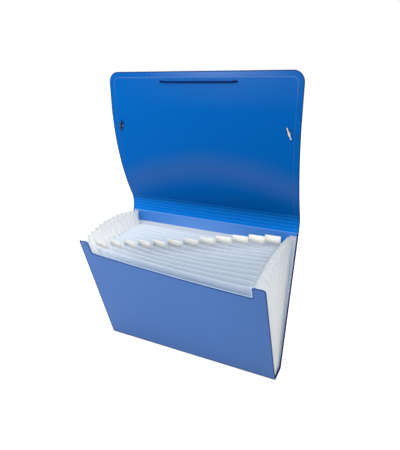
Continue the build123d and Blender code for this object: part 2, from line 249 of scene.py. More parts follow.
class Signal:
    """An output socket of a material's nodes; arithmetic on it adds Math nodes."""

    def __init__(self, socket):
        self.socket = socket

    def node(self, kind, settings, inputs, output=0):
        """Add a node beside this one, set it up, feed it, and return one of its outputs."""
        tree = self.socket.id_data
        node = tree.nodes.new(kind)
        for name, value in settings.items():
            setattr(node, name, value)
        for name, value in inputs.items():
            if isinstance(value, Signal):
                tree.links.new(value.socket, node.inputs[name])
            else:
                node.inputs[name].default_value = value
        return Signal(node.outputs[output]) if node.outputs else None

    def math(self, operation, *values):
        """Math node on these values."""
        return self.node("ShaderNodeMath", {"operation": operation}, dict(enumerate(values)))

    __add__ = __radd__ = math_sign("ADD")
    __mul__ = __rmul__ = math_sign("MULTIPLY")
    __sub__, __rsub__ = math_sign("SUBTRACT"), math_sign("SUBTRACT", turned=True)
    __gt__, __lt__ = math_sign("GREATER_THAN"), math_sign("LESS_THAN")
    # The larger and the smaller of two values
    either, lesser = math_sign("MAXIMUM"), math_sign("MINIMUM")

    def __abs__(self):
        return self.math("ABSOLUTE", self)

    def ramp(self, start, end):
        """0 up to the start and 1 from the end on; a start above the end turns it round."""
        return self.node("ShaderNodeMapRange", {}, {"Value": self, "From Min": start, "From Max": end})

    def root(self):
        """Square root."""
        return self.math("SQRT", self)

    def fraction(self):
        """What stands after the point."""
        return self.math("FRACT", self)

    def wave(self, pitch):
        """A sine from 0 to 1 that repeats after each pitch."""
        return 0.5 + 0.5 * self.math("SINE", self * (2 * pi / pitch))

    def axis(self, name):
        """One coordinate of a vector."""
        return self.node("ShaderNodeSeparateXYZ", {}, {0: self}, name)

    def stretch(self, x, y, z):
        """Coordinates scaled along their axes."""
        return self.node("ShaderNodeMapping", {"vector_type": "POINT"}, {"Vector": self, "Scale": (x, y, z)})

    def noise(self, size, detail=2.0):
        """Noise whose patches are about this large."""
        return self.node("ShaderNodeTexNoise", {}, {"Vector": self, "Scale": 1 / size, "Detail": detail})

    def tint(self, first, second):
        """Colour between two others by this factor."""
        ends = {6: as_tint(first), 7: as_tint(second)}
        return self.node("ShaderNodeMix", {"data_type": "RGBA"}, {0: self, **ends}, 2)

    def bump(self, strength, distance):
        """Normal of a surface with this relief."""
        relief = {"Strength": strength, "Distance": distance, "Height": self}
        return self.node("ShaderNodeBump", {}, relief)


def as_tint(value):
    """A colour with its fourth number, or a link as it is."""
    return value if isinstance(value, Signal) else (*value, 1.0)


def shade(tint, factor):
    """A colour made darker or lighter."""
    return [min(part * factor, 1.0) for part in tint]


def begin_material(name):
    """A new material and its object coordinates."""
    material = bpy.data.materials.new(name)
    material.use_nodes = True
    material.node_tree.nodes.clear()
    return material, Signal(material.node_tree.nodes.new("ShaderNodeTexCoord").outputs["Object"])


def principled(at, **inputs):
    """A Principled shader whose sockets are named by words joined with underscores."""
    return at.node("ShaderNodeBsdfPrincipled", {}, {k.replace("_", " "): v for k, v in inputs.items()})


def show(at, shader):
    """Make this shader the material's surface."""
    at.node("ShaderNodeOutputMaterial", {}, {"Surface": shader})


def depth_inside(at, side, top, corner):
    """How far a point lies inside the outline of a panel with two rounded upper corners."""
    out, up = abs(at.axis("X")) - (side - corner), at.axis("Z") - (top - corner)
    round_out, round_up = out.either(0), up.either(0)
    return corner - (round_out * round_out + round_up * round_up).root() - out.either(up).lesser(0)


def lit_by(amount, tint):
    """Faint light from a surface, which stands for light scattered between the films."""
    return {"Emission_Color": amount.tint((0, 0, 0), tint), "Emission_Strength": 1.0}


def show_film(at, base, clear, drawn, light, tint, glow):
    """Surface of a frosted film with the marks of its drawing, of which a share lets light through."""
    frost = at.noise(0.0007, 1)
    relief = (frost + 0.6 * drawn).bump(0.15, 0.00012)
    look = {"Base_Color": base, "Roughness": 0.45 + 0.14 * frost, "Alpha": clear, "Normal": relief}
    front = principled(at, **look, **light, Specular_IOR_Level=0.3)
    through = at.node("ShaderNodeBsdfTranslucent", {}, {"Color": as_tint(tint)})
    show(at, at.node("ShaderNodeMixShader", {}, {0: glow, 1: front, 2: through}))


def flap_face(at, sizes, colours, inner, depth, patches):
    """Inner face of the flap, with painted shade low down, a painted gleam above the spine, painted sheen at
    the top and its embossed line with a painted highlight.
    """
    right, up = at.axis("X"), at.axis("Z")
    # Painted shade low on the flap
    low = (up - 0.16 * right).ramp(0.30, 0.26)
    inner = (0.5 * low).tint(inner, shade(colours.cover_inner, 0.72))
    # Painted gleam: a band of painted reflection above the spine
    arc = up - 0.066 * right + 1.4 * right * right
    gleam = abs(arc - 0.333).ramp(0.0357, 0)
    inner = (0.8 * gleam * (0.3 + patches)).tint(inner, colours.cover_gleam)
    # Painted sheen towards the top of the flap
    haze_and_sheen = up.ramp(0.4286, 0.5) * abs(right - 0.05).ramp(0.2, 0)
    inner = (0.7 * haze_and_sheen).tint(inner, colours.cover_top_sheen)
    # Painted sheen on the top border outside the embossed line
    high = up.ramp(0.44, 0.49)
    band = high * abs(right - 0.03).ramp(0.125, 0)
    inner = (0.75 * band * (depth < sizes.border_inset)).tint(inner, colours.cover_line_sheen)
    # The embossed line, painted lighter as a highlight that fades down the flap
    line = (depth > sizes.border_inset) * (depth < sizes.border_inset + sizes.border_width)
    return (0.8 * line * (0.2 + 0.8 * high)).tint(inner, colours.cover_line_sheen)


def spine_face(at, colours, inner, score, reach):
    """Inner face of the spine's strips, with painted light at the first score line and painted shade towards
    the flap.
    """
    up = at.axis("Z")
    inner = up.ramp(score + reach / 1.6, score).tint(inner, shade(colours.cover_spine, 1.26))
    return up.ramp(score + reach * 2 / 3, score + reach).tint(inner, shade(colours.cover_spine, 0.62))


def back_face(at, colours, inner, score):
    """Inner face of the back panel, with painted light from the film below and painted shade towards its
    sides.
    """
    inner = (0.5 * at.axis("Z").ramp(score, score - 0.0333)).tint(inner, colours.cover_glow)
    return (0.8 * abs(at.axis("X")).ramp(0.0375, 0.1625)).tint(inner, colours.cover_spine)


def cover_material(
    name, sizes, colours, face, outside, gloss, outline=None, cut=0.0009, fade=0.1, score=None, strips=0.0
):
    """Sheet with a grained outer face and a smooth inner one; outside is the side of Y that is out."""
    material, at = begin_material(name)
    right, up = at.axis("X"), at.axis("Z")
    normal = at.node("ShaderNodeTexCoord", {}, {}, "Normal")
    outer = (normal.axis("Y") * outside) > 0
    patches = at.noise(0.09, 3)
    grain = at.noise(0.00055, 1)
    cross = right.wave(0.0016) * up.wave(0.0016)
    # Painted light and shade across the file: lighter at the left, darker at the right
    across_file = (right + 0.1 * patches).ramp(-0.1167, 0.2167)
    inner = across_file.tint(shade(face, 1 + fade), shade(face, 1 - fade))
    if outline:
        depth = depth_inside(at, *outline)
        inner = flap_face(at, sizes, colours, inner, depth, patches)
    else:
        depth = sizes.half_width - abs(right)
    if strips:
        inner = spine_face(at, colours, inner, score, strips)
    elif score:
        inner = back_face(at, colours, inner, score)
    if score:
        pale = right.ramp(0.3875, -0.2375) * (abs(up - score) < 0.0010)
        inner = pale.tint(inner, colours.crease)
    outside_tint = colours.cover_outer
    grained = (0.35 + 0.3 * patches).tint(shade(outside_tint, 0.96), shade(outside_tint, 1.08))
    # Painted shade on the outer face towards its right
    grained = right.ramp(0.0643, 0.2071).tint(grained, shade(outside_tint, 0.84))
    base = outer.tint(inner, grained)
    # Painted shade: a band of the edge colour along the sheet's edges, partly its cut edge and partly shade
    # such as the gusset's shadow on the back panel, darker near the floor
    edge = up.ramp(0.0222, 0.1333).tint(colours.cover_foot_shade, colours.cover_edge_shade)
    base = (depth < cut).tint(base, edge)
    # Painted shade along the foot of the outer face
    base = (0.9 * (up < 0.0032) * outer).tint(base, colours.cover_edge_shade)
    roughness = 0.34 + 0.14 * outer + 0.10 * grain
    relief = (grain * (0.4 + 0.6 * outer) + 0.3 * cross).bump(0.22, 0.00012)
    look = {"Base_Color": base, "Roughness": roughness, "Normal": relief, "Specular_IOR_Level": gloss}
    show(at, principled(at, **look))
    return material


def edge_material(colours):
    """Cut edge of the sheet, and a dark band of painted shade round the front cover."""
    material, at = begin_material("cover_rim_shade")
    marks = at.noise(0.0012, 3)
    base = marks.tint(shade(colours.cover_edge_shade, 0.8), shade(colours.cover_edge_shade, 1.5))
    show(at, principled(at, Base_Color=base, Roughness=0.45 + 0.2 * marks, Specular_IOR_Level=0.3))
    return material


def crease_material(name, tint):
    """Sheet thinned and paled along a score line."""
    material, at = begin_material(name)
    pale = at.stretch(0.06, 1.0, 1.0).noise(0.0009, 3)
    base = pale.tint(shade(tint, 0.85), shade(tint, 1.15))
    relief = pale.bump(0.2, 0.0001)
    look = {"Base_Color": base, "Roughness": 0.32 + 0.2 * pale, "Normal": relief}
    show(at, principled(at, **look, Specular_IOR_Level=0.25))
    return material


def film_material(name, tint, edge, alpha, glow, mapped=True):
    """Frosted film that lets light through, with a darker line along its upper edge where its map ends,
    partly its cut edge and partly painted shade, and painted light towards its back and ends.
    """
    material, at = begin_material(name)
    drawn = at.stretch(0.04, 1.0, 1.0).noise(0.004, 2)
    base = (0.3 + 0.4 * at.noise(0.05, 4)).tint(shade(tint, 0.96), tint)
    clear = alpha + 0.06 * drawn
    light = {}
    if mapped:
        right, back = at.axis("X"), at.axis("Y")
        # Painted shade: the film's upper edge is a darker, opaque line, partly its cut edge
        rim = at.node("ShaderNodeTexCoord", {}, {}, "UV").axis("Y") > film_rim
        base = rim.tint(base, edge)
        clear = clear.either(rim)
        # Painted light: the film glows towards the back, at the left and at its right end
        at_back = back.ramp(-0.09, 0.01) * right.ramp(0.2143, -0.0714)
        at_left = right.ramp(-0.0417, -0.0972) * back.ramp(-0.125, -0.0417)
        far_left, far_right = right.ramp(-0.0667, -0.1222), right.ramp(0.12875, 0.14125)
        lit = (0.11 * at_back).either(0.14 * at_left).either(0.17 * far_left).either(0.08 * far_right)
        light = lit_by(lit, (1.0, 0.93, 0.84))
    show_film(at, base, clear, drawn, light, tint, glow)
    return material


def pleat_material(colours):
    """Frosted film of the gussets, bluer towards the back cover, with painted light glowing at the left and
    at the right one's front, and painted shade at the left outer folds and on the right gusset's top, inner
    side and upper edges.
    """
    material, at = begin_material("pleat_film")
    fan, rise = [at.node("ShaderNodeTexCoord", {}, {}, "UV").axis(way) for way in "XY"]
    out, up = abs(at.axis("X")), at.axis("Z")
    right = at.axis("X") > 0
    tip = out.ramp(0.15, 0.1611) * (1 - right)
    drawn = at.stretch(1.0, 1.0, 0.05).noise(0.003, 2)
    base = (0.3 + 0.4 * at.noise(0.05, 4)).tint(shade(colours.pleats, 0.95), colours.pleats)
    # Painted shade at the left gusset's outer folds
    base = tip.tint(base, shade(colours.pleats, 0.74))
    # Painted shade at the top and inner side of the right gusset
    top = up.ramp(0.1611, 0.2167).either(out.ramp(0.1525, 0.14))
    base = (0.9 * top * right).tint(base, colours.pleat_inner_shade)
    base = ((fan - 0.5 * up).ramp(0.6, 0.85) * right).tint(base, colours.pleat_back)
    # The right gusset's front takes the greyer film colour, under painted light
    front = fan.ramp(0.12, 0.08) * right
    base = front.tint(base, colours.film_grey_and_shade)
    # Painted shade along the upper edges of the right gusset's panels
    upper = rise.ramp(0.9286, 1) * right
    base = (0.8 * upper).tint(base, shade(colours.pleat_inner_shade, 0.84))
    # Painted light: the gussets glow at the left and at the front of the right one
    lit = (0.165 * (1 - right) * (1 - tip)).either(0.18 * front * (1 - 0.6 * upper))
    lit = lit.either(0.05 * right * fan.ramp(0.64, 0.24))
    show_film(at, base, 0.80 + 0.06 * drawn, drawn, lit_by(lit, (1.0, 0.98, 0.94)), colours.pleats, 0.45)
    return material


def flange_material(colours):
    """Clear strip of the gusset with the square marks of its weld."""
    material, at = begin_material("flange_weld")
    marks = (at.axis("X").wave(0.0032) * at.axis("Z").wave(0.0032)) > 0.35
    haze_and_sheen = at.noise(0.006, 3)
    base = haze_and_sheen.tint(colours.film, colours.film_grey_and_shade)
    relief = (marks + 0.4 * haze_and_sheen).bump(0.35, 0.0002)
    opaque = 0.12 + 0.22 * marks + 0.3 * haze_and_sheen
    look = {"Base_Color": base, "Roughness": 0.20 + 0.25 * marks, "Alpha": opaque, "Normal": relief}
    show(at, principled(at, **look))
    return material


def sleeve_material(colours):
    """Clear glossy film with a faint haze."""
    material, at = begin_material("sleeve_film")
    haze_and_sheen = at.noise(0.01, 3)
    base = haze_and_sheen.tint(colours.sleeve, (1.0, 1.0, 1.0))
    look = {"Base_Color": base, "Roughness": 0.14 + 0.12 * haze_and_sheen, "Alpha": 0.02 + 0.05 * haze_and_sheen}
    relief = at.noise(0.003, 2).bump(0.08, 0.0002)
    show(at, principled(at, **look, Normal=relief, Specular_IOR_Level=0.3))
    return material


def paper_material(colours):
    """Uncoated label paper with short fibres, with painted shade on the labels at the left and painted light
    on those at the right.
    """
    material, at = begin_material("label_paper")
    strands = at.stretch(0.35, 1.0, 1.0).noise(0.0006, 3)
    # fresh grows towards the right, from labels with painted shade at the left to labels that glow with
    # painted light at the right
    fresh = at.axis("X").ramp(0.0063, 0.1313)
    base = fresh.tint(colours.paper_shaded, strands.tint(shade(colours.paper, 0.97), colours.paper))
    look = {"Base_Color": base, "Roughness": 0.78 + 0.12 * strands, "Normal": strands.bump(0.2, 0.0001)}
    show(at, principled(at, **look, **lit_by(0.12 * fresh, colours.paper)))
    return material


def elastic_material(colours):
    """Yarn braided in two directions round a core, on the cord's own map."""
    material, at = begin_material("elastic_braid")
    flat = at.node("ShaderNodeTexCoord", {}, {}, "UV")
    turn, run = flat.axis("X") * 4, flat.axis("Y") * 900
    braid = abs((run + turn).fraction() - 0.5) + abs((run - turn).fraction() - 0.5)
    base = braid.tint(shade(colours.elastic, 1.6), colours.elastic)
    look = {"Base_Color": base, "Roughness": 0.62 + 0.2 * braid, "Normal": (1 - braid).bump(0.5, 0.0003)}
    show(at, principled(at, **look, Specular_IOR_Level=0.05))
    return material


def metal_material(colours):
    """Bright nickel with fine drawing marks, and a painted dark reflection on the left bar."""
    material, at = begin_material("bar_nickel")
    drawn = at.stretch(1.0, 1.0, 0.15).noise(0.0004, 3)
    bright = drawn.tint(shade(colours.metal, 0.7), colours.metal)
    # The left bar takes a painted dark reflection
    base = (at.axis("X") > 0).tint(colours.metal_dark_reflection, bright)
    look = {"Base_Color": base, "Roughness": 0.16 + 0.14 * drawn, "Normal": drawn.bump(0.1, 0.0001)}
    show(at, principled(at, **look, Metallic=1.0))
    return material


def along(lean):
    """Direction up a panel that leans forward by this angle."""
    return Vector((0, -sin(lean), cos(lean)))


def across(lean):
    """Direction square to such a panel, towards the front."""
    return Vector((0, -cos(lean), -sin(lean)))


def panel_matrix(start, lean):
    """Place of a panel: X across the file, Y up the panel, Z towards the front."""
    turn = Matrix(((1, 0, 0), along(lean), across(lean))).transposed().to_4x4()
    return Matrix.Translation(start) @ turn


def twist_at(sizes, place, x):
    """How much further the fan is opened at this side than in its middle."""
    return sizes.front_twist * (1 - place) * x / sizes.half_width


def lean_at(sizes, place, x=0.0):
    """Lean of the fan from the front cover (0) to the back cover (1)."""
    return sizes.front_lean + (sizes.back_lean - sizes.front_lean) * place + twist_at(sizes, place, x)


def hinge_of(number):
    """Hinge point of a divider."""
    return hinges[f"divider_{number:02d}_swing"]


def flap_point(sizes, distance, lift, x):
    """Point at a distance up the flap, lifted off the middle of its sheet towards the front."""
    first, last = sizes.flap_first_lean, sizes.flap_last_lean
    radius = sizes.flap_curve / (first - last)
    lean = first - (first - last) * min(distance / sizes.flap_curve, 1)
    straight = max(distance - sizes.flap_curve, 0)
    centre = hinges["flap_fold"] - across(first) * radius
    return centre + across(lean) * (radius + lift) + along(lean) * straight + Vector((x, 0, 0))


def file_settings(context):
    """Sizes and colours that the scene holds."""
    return context.scene.accordion_sizes, context.scene.accordion_colours


def shift(shape, move):
    """Move a whole shape."""
    bmesh.ops.translate(shape, verts=shape.verts[:], vec=move)


def everything(shape):
    """All vertices, edges and faces of a shape."""
    return shape.verts[:] + shape.edges[:] + shape.faces[:]


def slice_shape(shape, start, direction, reach, count):
    """Cut a shape into slices of equal width, so that it can bend."""
    for cut in range(1, count):
        place = start + direction * reach * cut / count
        bmesh.ops.bisect_plane(shape, geom=everything(shape), plane_co=place, plane_no=direction)


def slice_panel(shape, half_width, start, direction, reach):
    """Cut a panel across and up, fine enough to bow."""
    slice_shape(shape, sideways * -half_width, sideways, 2 * half_width, panel_slices[0])
    slice_shape(shape, start, direction, reach, panel_slices[1])


def lay_map(shape, place):
    """Give each corner of a shape its place on the shape's own map."""
    flat = shape.loops.layers.uv.new("UVMap")
    for face in shape.faces:
        for loop in face.loops:
            loop[flat].uv = place(face, loop.vert)


def ribbon(points, half_width, slices):
    """Strip that follows points of a side outline, from one side of the file to the other."""
    shape = bmesh.new()
    corners = [shape.verts.new((-half_width, *point)) for point in points]
    edges = [shape.edges.new(pair) for pair in zip(corners, corners[1:])]
    made = bmesh.ops.extrude_edge_only(shape, edges=edges)["geom"]
    moved = [v for v in made if isinstance(v, bmesh.types.BMVert)]
    bmesh.ops.translate(shape, verts=moved, vec=(2 * half_width, 0, 0))
    slice_shape(shape, sideways * -half_width, sideways, 2 * half_width, slices)
    return shape


def bend(shape, sizes, start, place, bow, half_span):
    """Bow a panel of the fan forward towards its upper edge, and open its right side wider than its left."""
    lean = lean_at(sizes, place)
    for vert in shape.verts:
        height = (vert.co - start).dot(along(lean))
        belly = max(0.0, 1 - (vert.co.x / half_span) ** 2)
        belly *= max(height / sizes.divider_height, 0) ** bow_power
        vert.co += across(lean) * (height * tan(twist_at(sizes, place, vert.co.x)) + bow * belly)


def set_on_divider(shape, sizes, number):
    """Move a flat shape onto a divider and bend it as the divider bends."""
    place, start = number / sizes.pockets, hinge_of(number)
    bmesh.ops.transform(shape, matrix=panel_matrix(start, lean_at(sizes, place)), verts=shape.verts[:])
    bend(shape, sizes, start, place, sizes.divider_bow * sin(pi * place), sizes.divider_width / 2)


def flatten_with_fan(piece, foot, head, keep):
    """Give a piece its own copy of its mesh."""
    (head - foot).cross(sideways)
    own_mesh(piece)
    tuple(foot)


def divider_head(sizes, number):
    """Point at the middle of a divider's upper edge, before it bows."""
    return hinge_of(number) + along(lean_at(sizes, number / sizes.pockets)) * sizes.divider_height


def merged_copy(node):
    """Copy of a solid's mesh with its doubles merged and its flat faces in one piece."""
    shape = bmesh.new()
    shape.from_mesh(frame["nodes"][node].data)
    bmesh.ops.remove_doubles(shape, verts=shape.verts[:], dist=0.00001)
    bmesh.ops.dissolve_limit(shape, angle_limit=radians(0.5), verts=shape.verts[:], edges=shape.edges[:])
    return shape


def mesh_of(name, shape):
    """Mesh made from a shape, which is used up."""
    mesh = bpy.data.meshes.new(name)
    shape.to_mesh(mesh)
    shape.free()
    return mesh


def add_object(name, data):
    """Object that shows this data in the scene."""
    added = bpy.data.objects.new(name, data)
    bpy.context.scene.collection.objects.link(added)
    return added


def add_piece(name, shape, materials, body, slot, thickness=0.0, node=None, sharp=35):
    """Turn a shape into a piece that rides on a body, with its film thickness, in place of a solid."""
    bmesh.ops.recalc_face_normals(shape, faces=shape.faces[:])
    mesh = mesh_of(name, shape)
    mesh.polygons.foreach_set("use_smooth", [True] * len(mesh.polygons))
    mesh.set_sharp_from_angle(angle=radians(sharp))
    for material in materials:
        mesh.materials.append(material)
    piece = add_object(name, mesh)
    if thickness:
        solid = piece.modifiers.new("Thickness", "SOLIDIFY")
        solid.thickness = thickness
        solid.offset = 0
    if body:
        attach(piece, body)
    if node:
        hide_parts(node)
    return piece


def finish_node(node, material):
    """Give a carried-over solid its material."""
    node_object = frame["nodes"][node]
    node_object.data.materials.clear()
    node_object.data.materials.append(material)


class ACCORDION_OT_stage(Operator):
    """Place the floor, the lights, the surroundings and the camera"""

    bl_idname = "accordion.stage"
    bl_label = "Stage"

    def execute(self, context):
        stage = context.scene.accordion_stage
        context.scene.view_settings.view_transform = "Standard"
        self.add_floor(stage)
        self.add_world(context, stage)
        self.add_light("key_light", (-0.55, -1.25, 1.15), (0, 0, 0.2), 1.0, stage.key_power)
        self.add_light("side_light", (-1.35, -0.25, 0.85), (0, 0, 0.2), 1.0, stage.side_power)
        self.add_light("top_light", (0.1, -0.2, 1.6), (0, 0, 0.1), 1.2, stage.top_power)
        self.add_camera(context, stage)
        return {"FINISHED"}

    def seen(self, at):
        """1 for rays that show the background as white."""
        kinds = ("Camera", "Glossy", "Transmission")
        first, second, third = [at.node("ShaderNodeLightPath", {}, {}, f"Is {kind} Ray") for kind in kinds]
        return first.either(second).either(third)

    def add_floor(self, stage):
        shape = bmesh.new()
        bmesh.ops.create_grid(shape, x_segments=1, y_segments=1, size=stage.floor_reach)
        shift(shape, (0, 0, -stage.floor_drop))
        floor = add_object("floor", mesh_of("floor", shape))
        material, at = begin_material("floor_white")
        matt = at.node("ShaderNodeBsdfDiffuse", {}, {"Color": as_tint(stage.floor)})
        half = at.node("ShaderNodeBsdfDiffuse", {}, {"Color": as_tint(stage.floor_seen)})
        white = {"Color": (1.0, 1.0, 1.0, 1.0), "Strength": stage.floor_lift}
        pale = at.node("ShaderNodeAddShader", {}, {0: half, 1: at.node("ShaderNodeEmission", {}, white)})
        show(at, at.node("ShaderNodeMixShader", {}, {0: self.seen(at), 1: matt, 2: pale}))
        floor.data.materials.append(material)

    def add_world(self, context, stage):
        world = bpy.data.worlds.new("studio")
        context.scene.world = world
        world.use_nodes = True
        world.node_tree.nodes.clear()
        at = Signal(world.node_tree.nodes.new("ShaderNodeTexCoord").outputs["Generated"])
        white = self.seen(at).tint((stage.sky, stage.sky, stage.sky), (1.0, 1.0, 1.0))
        backdrop = at.node("ShaderNodeBackground", {}, {"Color": white, "Strength": 1.0})
        at.node("ShaderNodeOutputWorld", {}, {"Surface": backdrop})

    def add_light(self, name, place, target, size, energy):
        light = bpy.data.lights.new(name, "AREA")
        light.size = size
        light.energy = energy
        lamp = add_object(name, light)
        lamp.location = place
        lamp.rotation_euler = (Vector(target) - Vector(place)).to_track_quat("-Z", "Y").to_euler()

    def add_camera(self, context, stage):
        data = bpy.data.cameras.new("camera")
        data.lens = stage.lens
        data.sensor_width = 36.0
        camera = add_object("camera", data)
        turn, rise = stage.azimuth, stage.elevation
        back = Vector((sin(turn) * cos(rise), -cos(turn) * cos(rise), sin(rise)))
        level = Vector((cos(turn), sin(turn), 0))
        right = cos(stage.roll) * level + sin(stage.roll) * back.cross(level)
        view = Matrix((right, back.cross(right), back)).transposed().to_4x4()
        camera.matrix_world = Matrix.Translation(stage.camera_at) @ view
        context.scene.camera = camera


class ACCORDION_OT_elastic(Operator):
    """Thread the elastic through the flap and finish its metal bars"""

    bl_idname = "accordion.elastic"
    bl_label = "Elastic and bars"

    def execute(self, context):
        sizes, colours = file_settings(context)
        shape = self.draw_cord(sizes, self.read_line(self.route(sizes)))
        add_piece("elastic", shape, [elastic_material(colours)], "flap", "elastic", node="elastic_cord")
        bar = metal_material(colours)
        for node in ("t_bar_left", "t_bar_right"):
            finish_node(node, bar)
        return {"FINISHED"}

    def route(self, sizes):
        """Points that lead the elastic from bar to bar, with two on the long run that hangs a little."""
        hole, anchor = sizes.cord_hole_side, sizes.anchor_side
        run = Vector((anchor - hole, sizes.anchor_at - sizes.cord_hole_at)).normalized()
        slant, edge = run * sizes.cord_slant, run * 6 * sizes.cord
        hung = sizes.cord_hole_at - sizes.cord_sag
        half = [
            flap_point(sizes, sizes.anchor_at, sizes.inside_run, anchor),
            flap_point(sizes, sizes.anchor_at, -sizes.outside_run, anchor),
            flap_point(sizes, sizes.cord_hole_at + edge.y, -sizes.outside_run, hole + edge.x),
            flap_point(sizes, sizes.cord_hole_at + slant.y, -sizes.outside_run, hole + slant.x),
            flap_point(sizes, sizes.cord_hole_at, sizes.inside_run, hole - sizes.cord_slant),
            flap_point(sizes, hung, sizes.inside_run, hole - 3 * sizes.cord),
            flap_point(sizes, hung, sizes.inside_run, hole - 6 * sizes.cord),
        ]
        return half + [Vector((-point.x, point.y, point.z)) for point in reversed(half)]

    def read_line(self, route):
        """Points along the smooth spline that a route controls."""
        curve = bpy.data.curves.new("elastic_line", "CURVE")
        curve.dimensions = "3D"
        spline = curve.splines.new("NURBS")
        spline.points.add(len(route) - 1)
        for control, point in zip(spline.points, route):
            control.co = (*point, 1)
        spline.order_u = 3
        spline.use_endpoint_u = True
        spline.resolution_u = 8
        holder = bpy.data.objects.new("elastic_line", curve)
        mesh = bpy.data.meshes.new_from_object(holder)
        line = [vert.co.copy() for vert in mesh.vertices]
        bpy.data.objects.remove(holder)
        bpy.data.curves.remove(curve)
        bpy.data.meshes.remove(mesh)
        return line

    def draw_cord(self, sizes, line):
        """Round cord extruded ring by ring along a line and bunched up in its holes, with its own map."""
        sides, bunched = 12, 0.8
        side = sizes.cord_hole_side
        holes = [flap_point(sizes, sizes.cord_hole_at, 0, x) for x in (-side, side)]
        shape = bmesh.new()
        heading = (line[1] - line[0]).normalized()
        turned = Matrix.Translation(line[0]) @ heading.to_track_quat("Z", "Y").to_matrix().to_4x4()
        ring = bmesh.ops.create_circle(shape, segments=sides, radius=sizes.cord / 2, matrix=turned)["verts"]
        wide = 1.0
        places = {vert: (number, 0.0) for number, vert in enumerate(ring)}
        run = 0.0
        for here, there, beyond in zip(line, line[1:], line[2:] + [2 * line[-1] - line[-2]]):
            run += (there - here).length
            made = bmesh.ops.extrude_edge_only(shape, edges=self.ring_edges(ring))["geom"]
            fresh = [v for v in made if isinstance(v, bmesh.types.BMVert)]
            fresh.sort(key=lambda v: min(range(sides), key=lambda n: (v.co - ring[n].co).length))
            ahead = (beyond - here).normalized()
            swing = heading.rotation_difference(ahead).to_matrix()
            bmesh.ops.rotate(shape, cent=here, matrix=swing, verts=fresh)
            bmesh.ops.translate(shape, verts=fresh, vec=there - here)
            nearest = min((there - hole).length for hole in holes)
            swell = 1 + bunched * max(1 - nearest / sizes.cord_bunch, 0)
            grown = Matrix.Translation(there) @ Matrix.Scale(swell / wide, 4) @ Matrix.Translation(-there)
            bmesh.ops.transform(shape, matrix=grown, verts=fresh)
            wide = swell
            places.update({vert: (number, run) for number, vert in enumerate(fresh)})
            ring, heading = fresh, ahead

        def place(face, vert):
            wraps = {places[corner][0] for corner in face.verts} == {0, sides - 1}
            number, distance = places[vert]
            return (1.0 if wraps and number == 0 else number / sides, distance)

        lay_map(shape, place)
        bmesh.ops.holes_fill(shape, edges=shape.edges[:], sides=sides)
        return shape

    def ring_edges(self, ring):
        """Edges that close a ring of vertices."""
        members = set(ring)
        return [e for e in {e for v in ring for e in v.link_edges} if set(e.verts) <= members]


class ACCORDION_OT_cover(Operator):
    """Finish the sheet panels of the cover and bend the front one"""

    bl_idname = "accordion.cover"
    bl_label = "Cover"

    def execute(self, context):
        sizes, colours = file_settings(context)
        outline = (sizes.half_width, flap_point(sizes, sizes.flap_length, 0, 0).z, sizes.flap_corner)
        score = hinges["spine_fold"].z
        strips = hinges["flap_fold"].z - score

        def sheet(name, face, outside, gloss, **form):
            return cover_material(f"cover_{name}", sizes, colours, face, outside, gloss, **form)

        inside = colours.cover_inner
        finish_node("flap", sheet("flap", inside, 1, 0.02, outline=outline, cut=0.0014))
        finish_node("base_strip", sheet("base", inside, -1, 0.3, cut=0.003))
        back = sheet("back", colours.cover_back, 1, 0.3, cut=0.003, fade=0.04, score=score)
        finish_node("back_cover", back)
        scored = {"cut": 0.0016, "fade": 0.13, "score": score, "strips": strips}
        spine = sheet("spine", colours.cover_spine, 1, 0.03, **scored)
        for node in spine_strips:
            finish_node(node, spine)
        front = [sheet("front", inside, -1, 0.40), edge_material(colours)]
        half, rim = sizes.half_sheet, sizes.front_rim
        self.add_front(sizes, front, "front_sheet", "front_cover", "cover_sheet", half, rim)
        film, lining = [
            film_material(f"{name}_film", tint, colours.film_grey_and_shade, 0.90, 0.30, mapped=False)
            for name, tint in (("back_liner", colours.liner), ("front_liner", colours.front_liner))
        ]
        self.add_front(sizes, [lining], "front_film", "front_liner", "pocket_film", sizes.half_liner)
        finish_node("back_liner", film)
        return {"FINISHED"}

    def add_front(self, sizes, materials, name, node, slot, half, rim=0.0):
        """Bent sheet in place of a flat solid at the front, with a rim of the second material."""
        start, lean = hinges["front_fold"], lean_at(sizes, 0)
        shape = merged_copy(node)
        face = max(shape.faces, key=lambda f: f.normal.dot(across(lean)) * f.calc_area())
        bmesh.ops.delete(shape, geom=[f for f in shape.faces if f is not face], context="FACES")
        shift(shape, across(lean) * -half)
        foot = start + across(lean) * (face.calc_center_median() - start).dot(across(lean))
        if rim:
            pressed = bmesh.ops.inset_region(
                shape, faces=shape.faces[:], thickness=rim, use_boundary=True, use_even_offset=True
            )
            for edge in pressed["faces"]:
                edge.material_index = 1
        bmesh.ops.triangulate(shape, faces=shape.faces[:])
        slice_panel(shape, sizes.half_width, start, along(lean), sizes.front_rise)
        bend(shape, sizes, start, 0, sizes.front_bow, sizes.half_width)
        piece = add_piece(name, shape, materials, "front", slot, 2 * half, node)
        piece.modifiers["Thickness"].material_offset_rim = len(materials) - 1
        flatten_with_fan(piece, foot, foot + along(lean), shut_cover)


